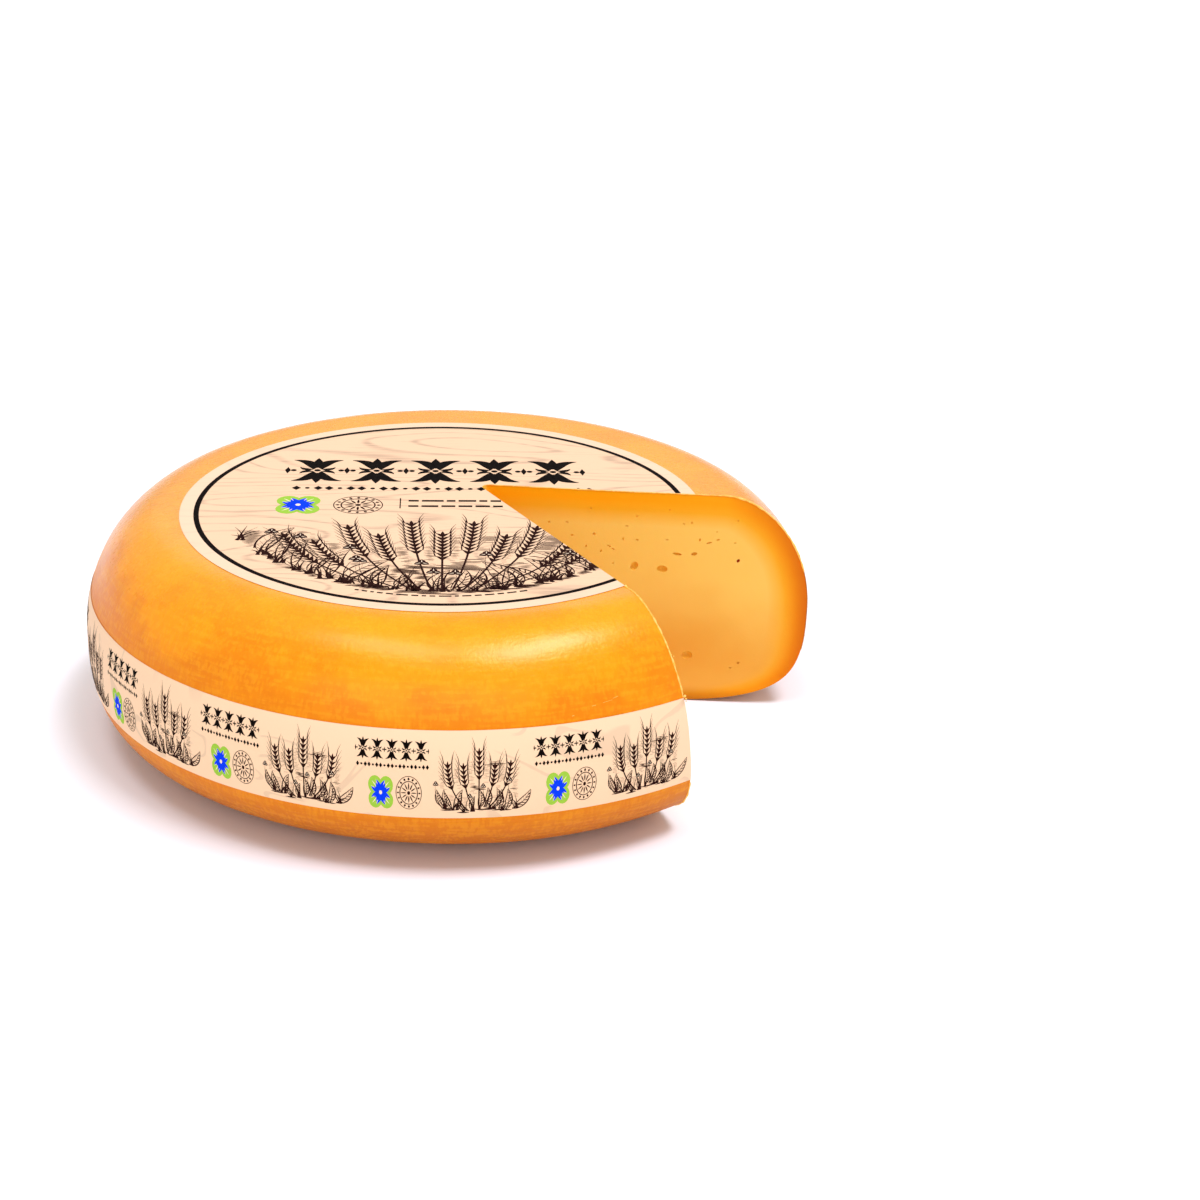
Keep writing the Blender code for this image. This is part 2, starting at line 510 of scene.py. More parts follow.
rindLook = {
    "main": inStudio(250, 153, 0),
    # deep: for random patches, and as painted shade lower down the side
    "deep": inStudio(230, 126, 0),
    # light: for the cloth's weave and pale mottles, and as painted light on the top shoulder
    "light": inStudio(252, 174, 26),
    "under": inStudio(168, 82, 0),  # the skin below the band is browner, and painted darker still as shade where it faces the floor
    "roughness": 0.28,
    "dull": 0.25,  # roughness that the skin gains on its way down
    "gloss": 0.38,
    "sheen": (1.0, 0.74, 0.28, 1.0),  # the skin's own tint in its reflections
    "wax": 0.28,  # clear coat on the upper half, worn off towards the band
    "waxRoughness": 0.24,
    "bump": 0.7,
    "bumpDepth": 0.0005,
    "glow": 0.10,  # light that comes back out of the cheese
    "glowTint": (1.0, 0.35, 0.08),
    "glowDepth": 0.004,
    "patchScale": 26.0,  # noise cells in a metre
    "mottleScale": 240.0,
    "wrinkleScale": 95.0,
    "threads": (620, 60),  # the print of the cloth, across a thread and along it
}


def makeRind():
    material, board = newMaterial("orangeRind")
    place = board.onPiece()
    height = board.heightOf(place)
    patches = board.noise(place, rindLook["patchScale"], 3.0, 0.55)
    mottle = board.noise(place, rindLook["mottleScale"], 5.0, 0.65)
    across, along = rindLook["threads"]
    upright = board.noise(board.stretched(place, across, across, along), 1.0)
    level = board.noise(board.stretched(place, along, along, across), 1.0)
    weave = upright * level
    wrinkles = board.noise(place, rindLook["wrinkleScale"], 6.0, 0.62, 0.6)
    lower = height.between(0.098, 0.068)
    # random patches, and painted shade: the skin turns deeper orange from the shoulder down to the band
    colour = board.mix(patches.between(0.40, 0.62) * 0.7 + lower * 0.8, rindLook["main"],
                       rindLook["deep"])
    # pale mottles at random, and painted light and reflection that make the top shoulder paler
    pale = mottle.between(0.50, 0.80) * 0.30 + height.between(0.097, 0.110) * 0.45
    colour = board.mix(pale, colour, rindLook["light"])
    # browner skin, and painted shade low down where the side faces the floor
    colour = board.mix(height.between(0.036, 0.012) * 0.75, colour, rindLook["under"])
    colour = board.mix(weave.between(0.20, 0.36) * (0.34 - lower * 0.12), colour, rindLook["light"])
    relief = wrinkles * 0.9 + mottle * 0.3 + weave * 0.8
    finishCheese(board, rindLook, relief, {
        "Base Color": colour,
        "Roughness": rindLook["roughness"] + (mottle - 0.5) * 0.16 + lower * rindLook["dull"],
        "Coat Weight": height.between(0.068, 0.092) * rindLook["wax"] * (0.7 + mottle * 0.6),
        "Coat Roughness": rindLook["waxRoughness"],
    })
    return material


pasteLook = {
    "skin": inStudio(232, 128, 2),
    "outer": inStudio(253, 163, 2),
    "turning": inStudio(244, 170, 30),
    "heart": inStudio(247, 198, 94),
    "warm": inStudio(231, 158, 54),
    # pit: painted shade, a deeper orange inside the eyes and pits
    "pit": inStudio(248, 190, 70),
    "stain": inStudio(176, 52, 8),
    "base": inStudio(178, 100, 14),  # brown rim along the bottom
    "flank": inStudio(212, 104, 0),  # towards the side the outer zone is darker
    "zone": 0.018,  # depth of the outer zone under the top
    "sideZone": 0.020,
    "bottomZone": 0.006,
    "deepest": 1.5,  # zones deep, past which the colour stays the same
    "gloss": 0.3,
    "sheen": (1.0, 0.72, 0.34, 1.0),
    "roughness": 0.5,
    "bump": 0.25,
    "bumpDepth": 0.0003,
    "glow": 0.20,
    "glowTint": (1.0, 0.5, 0.15),
    "glowDepth": 0.005,
    "cloudScale": 18.0,
    "curdScale": 700.0,
}
cheeseMarks = ("depth", "flank", "pit", "stain")  # what each point of the cheese carries


def makePaste():
    material, board = newMaterial("yellowPaste")
    place = board.onPiece()
    depth, flank, pit, stain = (
        board.add("ShaderNodeAttribute", {"attribute_name": name}, None, output="Fac")
        for name in cheeseMarks)
    cloud = board.noise(place, pasteLook["cloudScale"], 3.0)
    curd = board.noise(place, pasteLook["curdScale"], 4.0, 0.6)
    inside = depth + (cloud - 0.5) * 0.16
    colour = board.add("ShaderNodeValToRGB", {"stops": [
        (0.0, pasteLook["skin"]),
        (0.06, pasteLook["outer"]),
        (0.25, pasteLook["outer"]),
        (0.55, pasteLook["turning"]),
        (1.0, pasteLook["heart"]),
    ]}, {"Fac": inside})  # from the skin inwards
    colour = board.mix(inside.between(0.70, 0.0) * flank, colour, pasteLook["flank"])
    height = board.heightOf(place)
    warm = cloud.between(0.45, 0.75) * 0.3 + height.between(0.070, 0.018) * 0.75
    colour = board.mix(warm * inside.between(0.2, 1.0), colour, pasteLook["warm"])
    colour = board.mix(height.between(0.009, 0.0) * 0.8, colour, pasteLook["base"])
    # painted shade inside the eyes and pits
    colour = board.mix(pit, colour, pasteLook["pit"])
    colour = board.mix(stain, colour, pasteLook["stain"])
    finishCheese(board, pasteLook, curd, {
        "Base Color": colour,
        "Roughness": pasteLook["roughness"] + (curd - 0.5) * 0.15,
    })
    return material


# Eyes, slits and pits in the two cut faces

eyes = {
    # millimetres along the cut, millimetres up, width, height, and degrees leaned over
    "far": [
        (80.5, 72.6, 3.6, 5.2, 26), (94.7, 71.7, 5.4, 3.9, 4), (109.2, 25.3, 5.6, 4.6, -6),
        (102.0, 80.2, 4.8, 1.5, 6), (110.6, 80.6, 3.2, 2.0, -12), (133.0, 78.0, 1.6, 2.2, 30),
        (59.8, 88.8, 1.6, 1.5, 0), (48.6, 87.7, 1.3, 1.1, 0), (36.8, 94.1, 1.2, 1.3, 0),
        (45.9, 94.5, 1.8, 0.6, 10), (57.9, 102.6, 1.3, 0.7, 0), (55.9, 82.1, 1.0, 1.5, 20),
        (63.5, 79.8, 1.1, 1.6, 12), (67.5, 82.7, 2.2, 0.8, 30), (69.6, 81.2, 1.9, 0.7, 24),
        (69.8, 73.7, 0.9, 1.1, 0), (74.5, 86.9, 1.2, 1.4, 0), (81.6, 86.7, 1.7, 0.8, 12),
        (76.3, 93.9, 2.0, 0.6, 0), (81.2, 99.5, 1.4, 0.8, -8), (97.6, 103.6, 0.9, 0.7, 0),
        (96.7, 87.5, 1.6, 0.6, 0), (104.9, 96.5, 1.3, 0.8, 24), (108.9, 97.2, 1.2, 1.1, 0),
        (113.3, 88.3, 1.1, 1.8, 0), (117.9, 86.9, 3.0, 0.8, -14), (122.4, 88.8, 2.0, 0.8, -14),
        (121.7, 93.0, 0.9, 0.9, 0), (131.0, 87.6, 1.2, 0.9, 0), (132.0, 99.4, 1.0, 0.9, 0),
        (135.5, 22.3, 1.6, 1.2, 0), (131.6, 19.3, 1.7, 0.8, 0),
    ],
    "near": [
        (58.0, 64.0, 4.8, 4.0, 10), (96.0, 79.0, 5.4, 4.4, -8), (118.0, 56.0, 3.6, 3.0, 0),
        (81.0, 33.0, 4.4, 3.6, 18), (104.0, 72.0, 4.0, 1.3, 14), (70.0, 88.0, 2.4, 1.6, 0),
    ],
    "smallCount": 26,  # small pits of the near cut, strewn at random
    "smallSeed": 11,
    "smallWidth": (0.9, 2.4),
    "smallAlong": (28, 128),
    "smallUp": (14, 102),
    "smallFlatness": (0.35, 1.0),  # height in widths
    "smallLean": (-35, 35),
    "stained": (133.0, 78.0),  # a dark red speck in the far cut
    "stainReach": 0.0020,
    "sink": (0.35, 0.05),  # how far the middle of a pit and of a large eye lies behind the cut
    "largeFrom": 0.0028,  # mean width that makes an eye a large one
    "ripple": 0.10,
    "rippleScale": 420.0,
    "innerFrom": 0.0003,  # behind the cut, where the colour of an eye's inside begins
    "innerFade": 0.0005,
}


def lumpTree():  # an uneven ball on every point: an eye to cut out, or a crumb
    board, given = newTree("lumpsOnPoints", {"Geometry": "Geometry", "Ripple": "Float",
                                             "Ripple Scale": "Float", "Paste": "Material"})
    ball = board.add("GeometryNodeMeshIcoSphere", None, {"Radius": 1.0, "Subdivisions": 3})
    balls = board.add("GeometryNodeInstanceOnPoints", None,
                      {"Points": given.of("Geometry"), "Instance": ball,
                       "Rotation": board.stored("FLOAT_VECTOR", "turn"),
                       "Scale": board.stored("FLOAT_VECTOR", "size")})
    bumps = board.noise(board.add("GeometryNodeInputPosition"), given.of("Ripple Scale"), 1.0)
    away = (bumps - 0.5) * given.of("Ripple") * board.stored("FLOAT", "bore") * 4.0
    offset = board.scaled(board.add("GeometryNodeInputNormal"), away)
    rough = board.add("GeometryNodeSetPosition", None,
                      {"Geometry": board.realized(balls), "Offset": offset})
    return closeTree(board, rough, given.of("Paste"))


def alongCut(turn, lean, along, up):  # a place on a cut face, given in millimetres
    return cutStart(turn, lean, up * millimetre) + wayAlong(turn) * along * millimetre


def eyePoints():
    rows = []
    chance = random.Random(eyes["smallSeed"])
    near = list(eyes["near"])
    for _ in range(eyes["smallCount"]):
        width = chance.uniform(*eyes["smallWidth"])
        near.append((chance.uniform(*eyes["smallAlong"]), chance.uniform(*eyes["smallUp"]), width,
                     width * chance.uniform(*eyes["smallFlatness"]),
                     chance.uniform(*eyes["smallLean"])))
    cuts = ((eyes["far"], notch["farTurn"], notch["farLean"], 1.0),
            (near, notch["nearTurn"], notch["nearLean"], -1.0))
    for marks, turn, lean, inward in cuts:
        for along, up, width, height, leaned in marks:
            depth = (width + height) / 2 * millimetre
            centre = alongCut(turn, lean, along, up)
            sink = eyes["sink"][depth > eyes["largeFrom"]]
            centre += wayAlong(turn + math.pi / 2) * inward * depth / 2 * sink
            flat = Matrix.Rotation(turn, 3, "Z") @ Matrix.Rotation(math.radians(leaned), 3, "Y")
            size = (width * millimetre / 2, depth / 2, height * millimetre / 2)
            rows.append((centre, flat.to_euler(), size))
    return rows


def pointCloud(name, rows):  # points that each carry a turn and a size
    piece = newPiece(name, [row[0] for row in rows], [])
    for title, column in (("turn", 1), ("size", 2)):
        layer = piece.data.attributes.new(title, "FLOAT_VECTOR", "POINT")
        for item, row in zip(layer.data, rows):
            item.vector = tuple(row[column])
    bores = piece.data.attributes.new("bore", "FLOAT", "POINT")
    for item, row in zip(bores.data, rows):
        item.value = min(row[2])
    return piece


def makeEyeCutter(materials):
    cutter = pointCloud("eyeCutter", eyePoints())
    runTree(cutter, lumpTree(), {"Ripple": eyes["ripple"], "Ripple Scale": eyes["rippleScale"],
                                 "Paste": materials[1]})
    cutter.data.materials.clear()
    for material in materials:
        cutter.data.materials.append(material)
    return asCutter(cutter)


# The cheese itself

def wheelStations():
    flats = wheel["flatRows"]
    top = [(wheel["topFlat"] * row / flats, wheelHeight, 0.0, 1.0) for row in range(1, flats)]
    bottom = [(wheel["bottomFlat"] * row / flats, 0.0, 0.0, -1.0) for row in range(flats - 1, 0, -1)]
    return top + sideStations + bottom


def zoneAt(point):  # depth as a share of the outer zone's, and how upright the nearest skin stands
    place = Vector((math.hypot(point.x, point.y), point.z))
    flats = ((wheelHeight - point.z, 1.0), (point.z, -1.0))
    nearest, upward = min(flats)
    for upper, lower in zip(sideStations, sideStations[1:]):
        start = Vector(upper[:2])
        step = Vector(lower[:2]) - start
        share = min(max((place - start).dot(step) / step.length_squared, 0.0), 1.0)
        away = (place - start - step * share).length
        if away < nearest:
            nearest, upward = away, upper[3]
    flank = math.sqrt(max(0.0, 1 - upward * upward))
    flat = pasteLook["zone"] if upward > 0 else pasteLook["bottomZone"]
    zone = flat + (pasteLook["sideZone"] - flat) * flank
    return min(nearest / zone, pasteLook["deepest"]), flank


def makeWheel(rind, paste):
    steps = wheel["turnSteps"]
    stations = wheelStations()
    points, faces = turnedPoints(stations, steps, 0.0, True)
    lastRow, topMiddle, bottomMiddle = len(points) - steps, len(points), len(points) + 1
    points.append((0.0, 0.0, wheelHeight - sinkAt(0.0, 0.0, wheelHeight, True)))
    points.append((0.0, 0.0, 0.0))
    for step in range(steps):
        after = (step + 1) % steps
        faces.append((topMiddle, step, after))
        faces.append((bottomMiddle, lastRow + after, lastRow + step))
    piece = newPiece("cheeseWheel", points, faces, rind, paste)
    carve(piece, makeNotchCutter((rind, paste)))
    print("notch cut out")
    carve(piece, makeEyeCutter((rind, paste)))
    print("eyes opened")
    markCheese(piece)
    smooth(piece, degrees=32)
    return piece


def markCheese(piece):  # depth, flank, pit and stain, which the paste's colours follow
    layers = [piece.data.attributes.new(name, "FLOAT", "POINT") for name in cheeseMarks]
    depths, flanks, pits, stains = (layer.data for layer in layers)
    walls = notchSides(wheelHeight)[:2]
    speck = alongCut(notch["farTurn"], notch["farLean"], *eyes["stained"])
    for vertex in piece.data.vertices:
        index = vertex.index
        depths[index].value, flanks[index].value = zoneAt(vertex.co)
        behind = min(abs((vertex.co - point).dot(facing)) for point, facing in walls)
        pits[index].value = min(max((behind - eyes["innerFrom"]) / eyes["innerFade"], 0.0), 1.0)
        near = (vertex.co - speck).length < eyes["stainReach"]
        stains[index].value = pits[index].value if near else 0.0


rindMaterial = makeRind()
pasteMaterial = makePaste()
cheeseWheel = makeWheel(rindMaterial, pasteMaterial)
print("cheese made:", len(cheeseWheel.data.polygons), "faces")


# The knife pushed up a thin edge along the rind, and left scratches and a few crumbs. Edge and scratches
# are painted pale, as highlights along them.

burr = {
    # paler than the paste: painted highlight along the edges and scratches
    "colour": fromScreen(255, 208, 104),
    "shade": fromScreen(252, 182, 58),
    "radius": 0.00040,
    "topRadius": 0.00022,
    "topSteps": 50,
    "unevenness": 0.8,
    "lumpScale": 330.0,
    "sway": 0.9,  # in radii
    "swayScale": 260.0,
    "sides": 8,
    "step": 0.0011,
    "lift": 0.00005,  # above the skin
    "lowest": 0.0012,  # height at which the edge under the band ends
}


def burrTree():
    board, given = newTree("cutEdge", {
        "Geometry": "Geometry", "Step": "Float", "Radius": "Float", "Unevenness": "Float",
        "Lump Scale": "Float", "Sway": "Float", "Sway Scale": "Float", "Sides": "Int",
        "Pale": "Material"})
    place = board.add("GeometryNodeInputPosition")
    curve = board.add("GeometryNodeMeshToCurve", None, {0: given.of("Geometry")})
    curve = board.add("GeometryNodeResampleCurve", {"mode": "LENGTH"},
                      {"Curve": curve, "Length": given.of("Step")})
    lumps = board.noise(place, given.of("Lump Scale"))
    sway = board.add("ShaderNodeTexNoise", None, {"Vector": place, "Scale": given.of("Sway Scale")},
                     output="Color")
    sway = board.vectors("SUBTRACT", sway, (0.5, 0.5, 0.5))
    sway = board.scaled(sway, given.of("Radius") * given.of("Sway"))
    curve = board.add("GeometryNodeSetPosition", None, {"Geometry": curve, "Offset": sway})
    ring = board.add("GeometryNodeCurvePrimitiveCircle", None,
                     {"Resolution": given.of("Sides"), "Radius": given.of("Radius")})
    thick = 1.0 + (lumps - 0.5) * given.of("Unevenness") * 3.0
    tube = board.add("GeometryNodeCurveToMesh", None,
                     {"Curve": curve, "Profile Curve": ring, "Scale": thick, "Fill Caps": True})
    return closeTree(board, tube, given.of("Pale"))


def edgeOfCut(station, turn, lean):  # where a cut leaves the skin at one height
    start = cutStart(turn, lean, station[1])
    way = wayAlong(turn)
    back = start.xy.dot(way.xy)
    along = -back + math.sqrt(back * back - start.xy.length_squared + station[0] ** 2)
    point = start + way * along
    return Vector(skinPoint(math.atan2(point.y, point.x), station, burr["lift"]))


def makeBurr(name, lines, radius, material):
    points = [point for line in lines for point in line]
    edges = []
    first = 0
    for line in lines:
        edges += [(first + step, first + step + 1) for step in range(len(line) - 1)]
        first += len(line)
    piece = newPiece(name, points, [], edges=edges)
    runTree(piece, burrTree(), {
        "Step": burr["step"], "Radius": radius, "Unevenness": burr["unevenness"],
        "Lump Scale": burr["lumpScale"], "Sway": burr["sway"], "Sway Scale": burr["swayScale"],
        "Sides": burr["sides"], "Pale": material})
    smooth(piece, degrees=60)
    return piece


def makePale():
    material, board = newMaterial("paleShavings")
    spots = board.noise(board.onPiece(), 500.0, 3.0)
    finishMaterial(board, {
        "Base Color": board.mix(spots.between(0.40, 0.65), burr["colour"], burr["shade"]),
        "Roughness": 0.45 + (spots - 0.5) * 0.2,
    })
    return material


def makeCutEdges(material):
    low, high = (corner.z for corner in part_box("side_band"))
    upper = [station for station in sideStations if station[1] > high]
    lower = [station for station in sideStations if burr["lowest"] < station[1] < low]
    lines = []
    for side, stations in (("near", upper), ("near", lower), ("far", upper)):
        turn, lean = notch[side + "Turn"], notch[side + "Lean"]
        lines.append([edgeOfCut(station, turn, lean) for station in stations])
    return makeBurr("cutEdges", lines, burr["radius"], material)


def makeTopEdge(material):  # a finer edge round the notch, under the label, painted pale as a lit line where the label's shadow falls
    arc = cornerArc(wheelHeight)
    steps = burr["topSteps"]
    farEnd, nearEnd = (edgeOfCut(sideStations[0], notch[side + "Turn"], notch[side + "Lean"])
                       for side in ("far", "near"))
    line = [farEnd.lerp(arc[0], step / steps) for step in range(steps)] + arc
    line += [arc[-1].lerp(nearEnd, step / steps) for step in range(1, steps + 1)]
    for point in line:
        point.z = wheelHeight - sinkAt(point.x, point.y, wheelHeight, True)
    return makeBurr("topEdge", [line], burr["topRadius"], material)


scratchMarks = {
    # degrees round, millimetres up, degrees long, millimetres risen
    "places": [(-67.6, 80.2, 1.5, 0.5), (-66.0, 81.2, 0.9, 0.5), (-69.4, 79.6, 0.6, 0.1),
               (-72.6, 76.6, 0.35, 0.2)],
    "radius": 0.00009,
    "steps": 8,
}


# scratches in the rind above the band, drawn pale as painted highlight along them
def makeScratches(material):
    lines = []
    for turn, up, long, rise in scratchMarks["places"]:
        line = []
        for step in range(scratchMarks["steps"] + 1):
            share = step / scratchMarks["steps"]
            station = outlineAt((up + rise * share) * millimetre, sideStations)
            line.append(skinPoint(math.radians(turn + long * share), station))
        lines.append(line)
    return makeBurr("scratches", lines, scratchMarks["radius"], material)


crumbHeap = {
    # millimetres along the near cut, millimetres up, and size
    "places": [(148.3, 112.2, 1.6), (149.6, 112.3, 1.0), (151.4, 112.3, 0.6), (194.5, 75.3, 1.1),
               (195.3, 74.2, 0.8), (193.2, 74.4, 0.6), (195.2, 73.0, 0.6), (187.6, 92.6, 0.6)],
    "ripple": 0.35,
}


def makeCrumbs(material):
    rows = []
    for index, (along, up, size) in enumerate(crumbHeap["places"]):
        centre = alongCut(notch["nearTurn"], notch["nearLean"], along, up)
        rows.append((centre, (index, 2 * index, 0.0), [size * millimetre / 2] * 3))
    piece = pointCloud("crumbs", rows)
    runTree(piece, lumpTree(), {"Ripple": crumbHeap["ripple"], "Ripple Scale": eyes["rippleScale"],
                                "Paste": material})
    smooth(piece, degrees=60)
    return piece


paleMaterial = makePale()
cutEdges = makeCutEdges(paleMaterial)
topEdge = makeTopEdge(paleMaterial)
scratches = makeScratches(paleMaterial)
crumbs = makeCrumbs(paleMaterial)
print("cut edges, scratches and crumbs made")


# The papers. Each is a sheet that follows the broad swell of the cheese, not its dimples.

papers = {
    "lift": 0.00025,  # outer face of the paper above the swell
    "thickness": 0.00012,
    "labelRings": 44,
    "labelSteps": 180,
    "bandRows": 16,
    "bandSteps": 360,
    "printLift": 0.00005,
    "printThickness": 0.00003,
    "inkRise": {"green": 0.3, "blue": 0.6, "cream": 0.9},  # inks over others, in printLifts
    "labelRayStart": 0.2,  # the print is thrown on to the paper from this far off
    "bandRayStart": 0.02,
}
labelLow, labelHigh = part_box("top_label")
labelRadius = (labelHigh.y - labelLow.y) / 2
labelCentre = Vector((labelLow.x + labelRadius, (labelLow.y + labelHigh.y) / 2, 0.0))
bandLow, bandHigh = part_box("side_band")

paperLook = {
    "label": inStudio(248, 206, 164),
    "labelRim": inStudio(250, 215, 179),
    "labelGrain": inStudio(196, 160, 128),
    "band": inStudio(252, 210, 168),
    "bandScroll": inStudio(222, 188, 152),
    "rim": (0.1190, 0.1200),  # from the middle of the label, where its rim begins
    "roughness": 0.62,
}


def makeLabelPaper():
    material, board = newMaterial("labelPaper")
    place = board.onPiece()
    field = board.noise(board.stretched(place, 5.0, 17.0, 5.0), 1.0, 1.0, 0.4, 0.35)
    streaks = board.noise(board.stretched(place, 1.0, 12.0, 1.0), 55.0, 3.0)
    contour = (field * 17.0).maths("PINGPONG", 0.5).between(0.36, 0.49)
    colour = board.mix(contour * (0.35 + 0.65 * streaks.between(0.38, 0.58)) * 0.75,
                       paperLook["label"], paperLook["labelGrain"])
    colour = board.mix(streaks.between(0.55, 0.75) * 0.25, colour, paperLook["labelGrain"])
    centred = board.add("ShaderNodeMapping", None, {"Vector": place, "Location": -labelCentre})
    flat = board.vectors("MULTIPLY", centred, (1, 1, 0))
    away = board.add("ShaderNodeVectorMath", {"operation": "LENGTH"}, {0: flat}, output="Value")
    colour = board.mix(away.between(*paperLook["rim"]) * 0.75, colour, paperLook["labelRim"])
    finishMaterial(board, {
        "Base Color": colour,
        "Roughness": paperLook["roughness"] + (streaks - 0.5) * 0.1,
    })
    return material


def makeBandPaper():
    material, board = newMaterial("bandPaper")
    place = board.onPiece()
    field = board.noise(place, 17.0, 1.0, 0.4, 1.6)
    edge = board.noise(place, 260.0, 2.0)
    parts = board.noise(place, 30.0, 1.0).between(0.46, 0.52)
    scroll = (field * 5.0 + edge * 0.05).maths("PINGPONG", 0.5).between(0.40, 0.44) * parts
    colour = board.mix(scroll * 0.6, paperLook["band"], paperLook["bandScroll"])
    finishMaterial(board, {
        "Base Color": colour,
        "Roughness": paperLook["roughness"] + (edge - 0.5) * 0.1,
    })
    return material


def makeLabelSheet(material):
    rings, steps = papers["labelRings"], papers["labelSteps"]
    points = [labelCentre.copy()]
    for ring in range(1, rings + 1):
        for step in range(steps):
            way = wayAlong(math.tau * step / steps)
            points.append(labelCentre + way * (labelRadius * ring / rings))
    for point in points:
        radius = max(point.xy.length, wheel["topFlat"])
        share = (radius - wheel["topFlat"]) / (sideStations[1][0] - wheel["topFlat"])
        point.z = wheelHeight + share * (sideStations[1][1] - wheelHeight)
        point.z += papers["lift"] - sinkAt(point.x, point.y, point.z, False)
    return newPiece("topLabel", points, discFaces(rings, steps), material)


def makeBandSheet(material):
    rows = papers["bandRows"]
    heights = [bandHigh.z + (bandLow.z - bandHigh.z) * row / rows for row in range(rows + 1)]
    stations = [outlineAt(height, sideStations) for height in heights]
    points, faces = turnedPoints(stations, papers["bandSteps"], papers["lift"], False)
    return newPiece("sideBand", points, faces, material)


# Printed shapes. A place on the paper is a complex number of millimetres, across + up * 1j.

strokeShapes = {
    "even": lambda share: 1.0,
    "pen": lambda share: 0.25 + 0.75 * math.sin(math.pi * share),
    "petal": lambda share: 0.05 + 0.95 * math.sin(math.pi * share ** 0.8),
    "blade": lambda share: 1.08 - share,
}
inks = {
    "black": fromScreen(12, 5, 3),
    "sepia": fromScreen(44, 16, 10),
    "green": fromScreen(156, 198, 66),
    "blue": fromScreen(2, 60, 235),
    "cream": fromScreen(252, 228, 196),
}
inkNames = list(inks)


def bowed(start, end, bow, steps):  # a line bent to its left by bow times its length
    shares = [step / steps for step in range(steps + 1)]
    return [start + (end - start) * (t + 1j * bow * 4 * t * (1 - t)) for t in shares]


def onOval(degrees, wide, high):
    turn = math.radians(degrees)
    return complex(math.cos(turn) * wide, math.sin(turn) * high)


def pointing(degrees):
    return onOval(degrees, 1, 1)


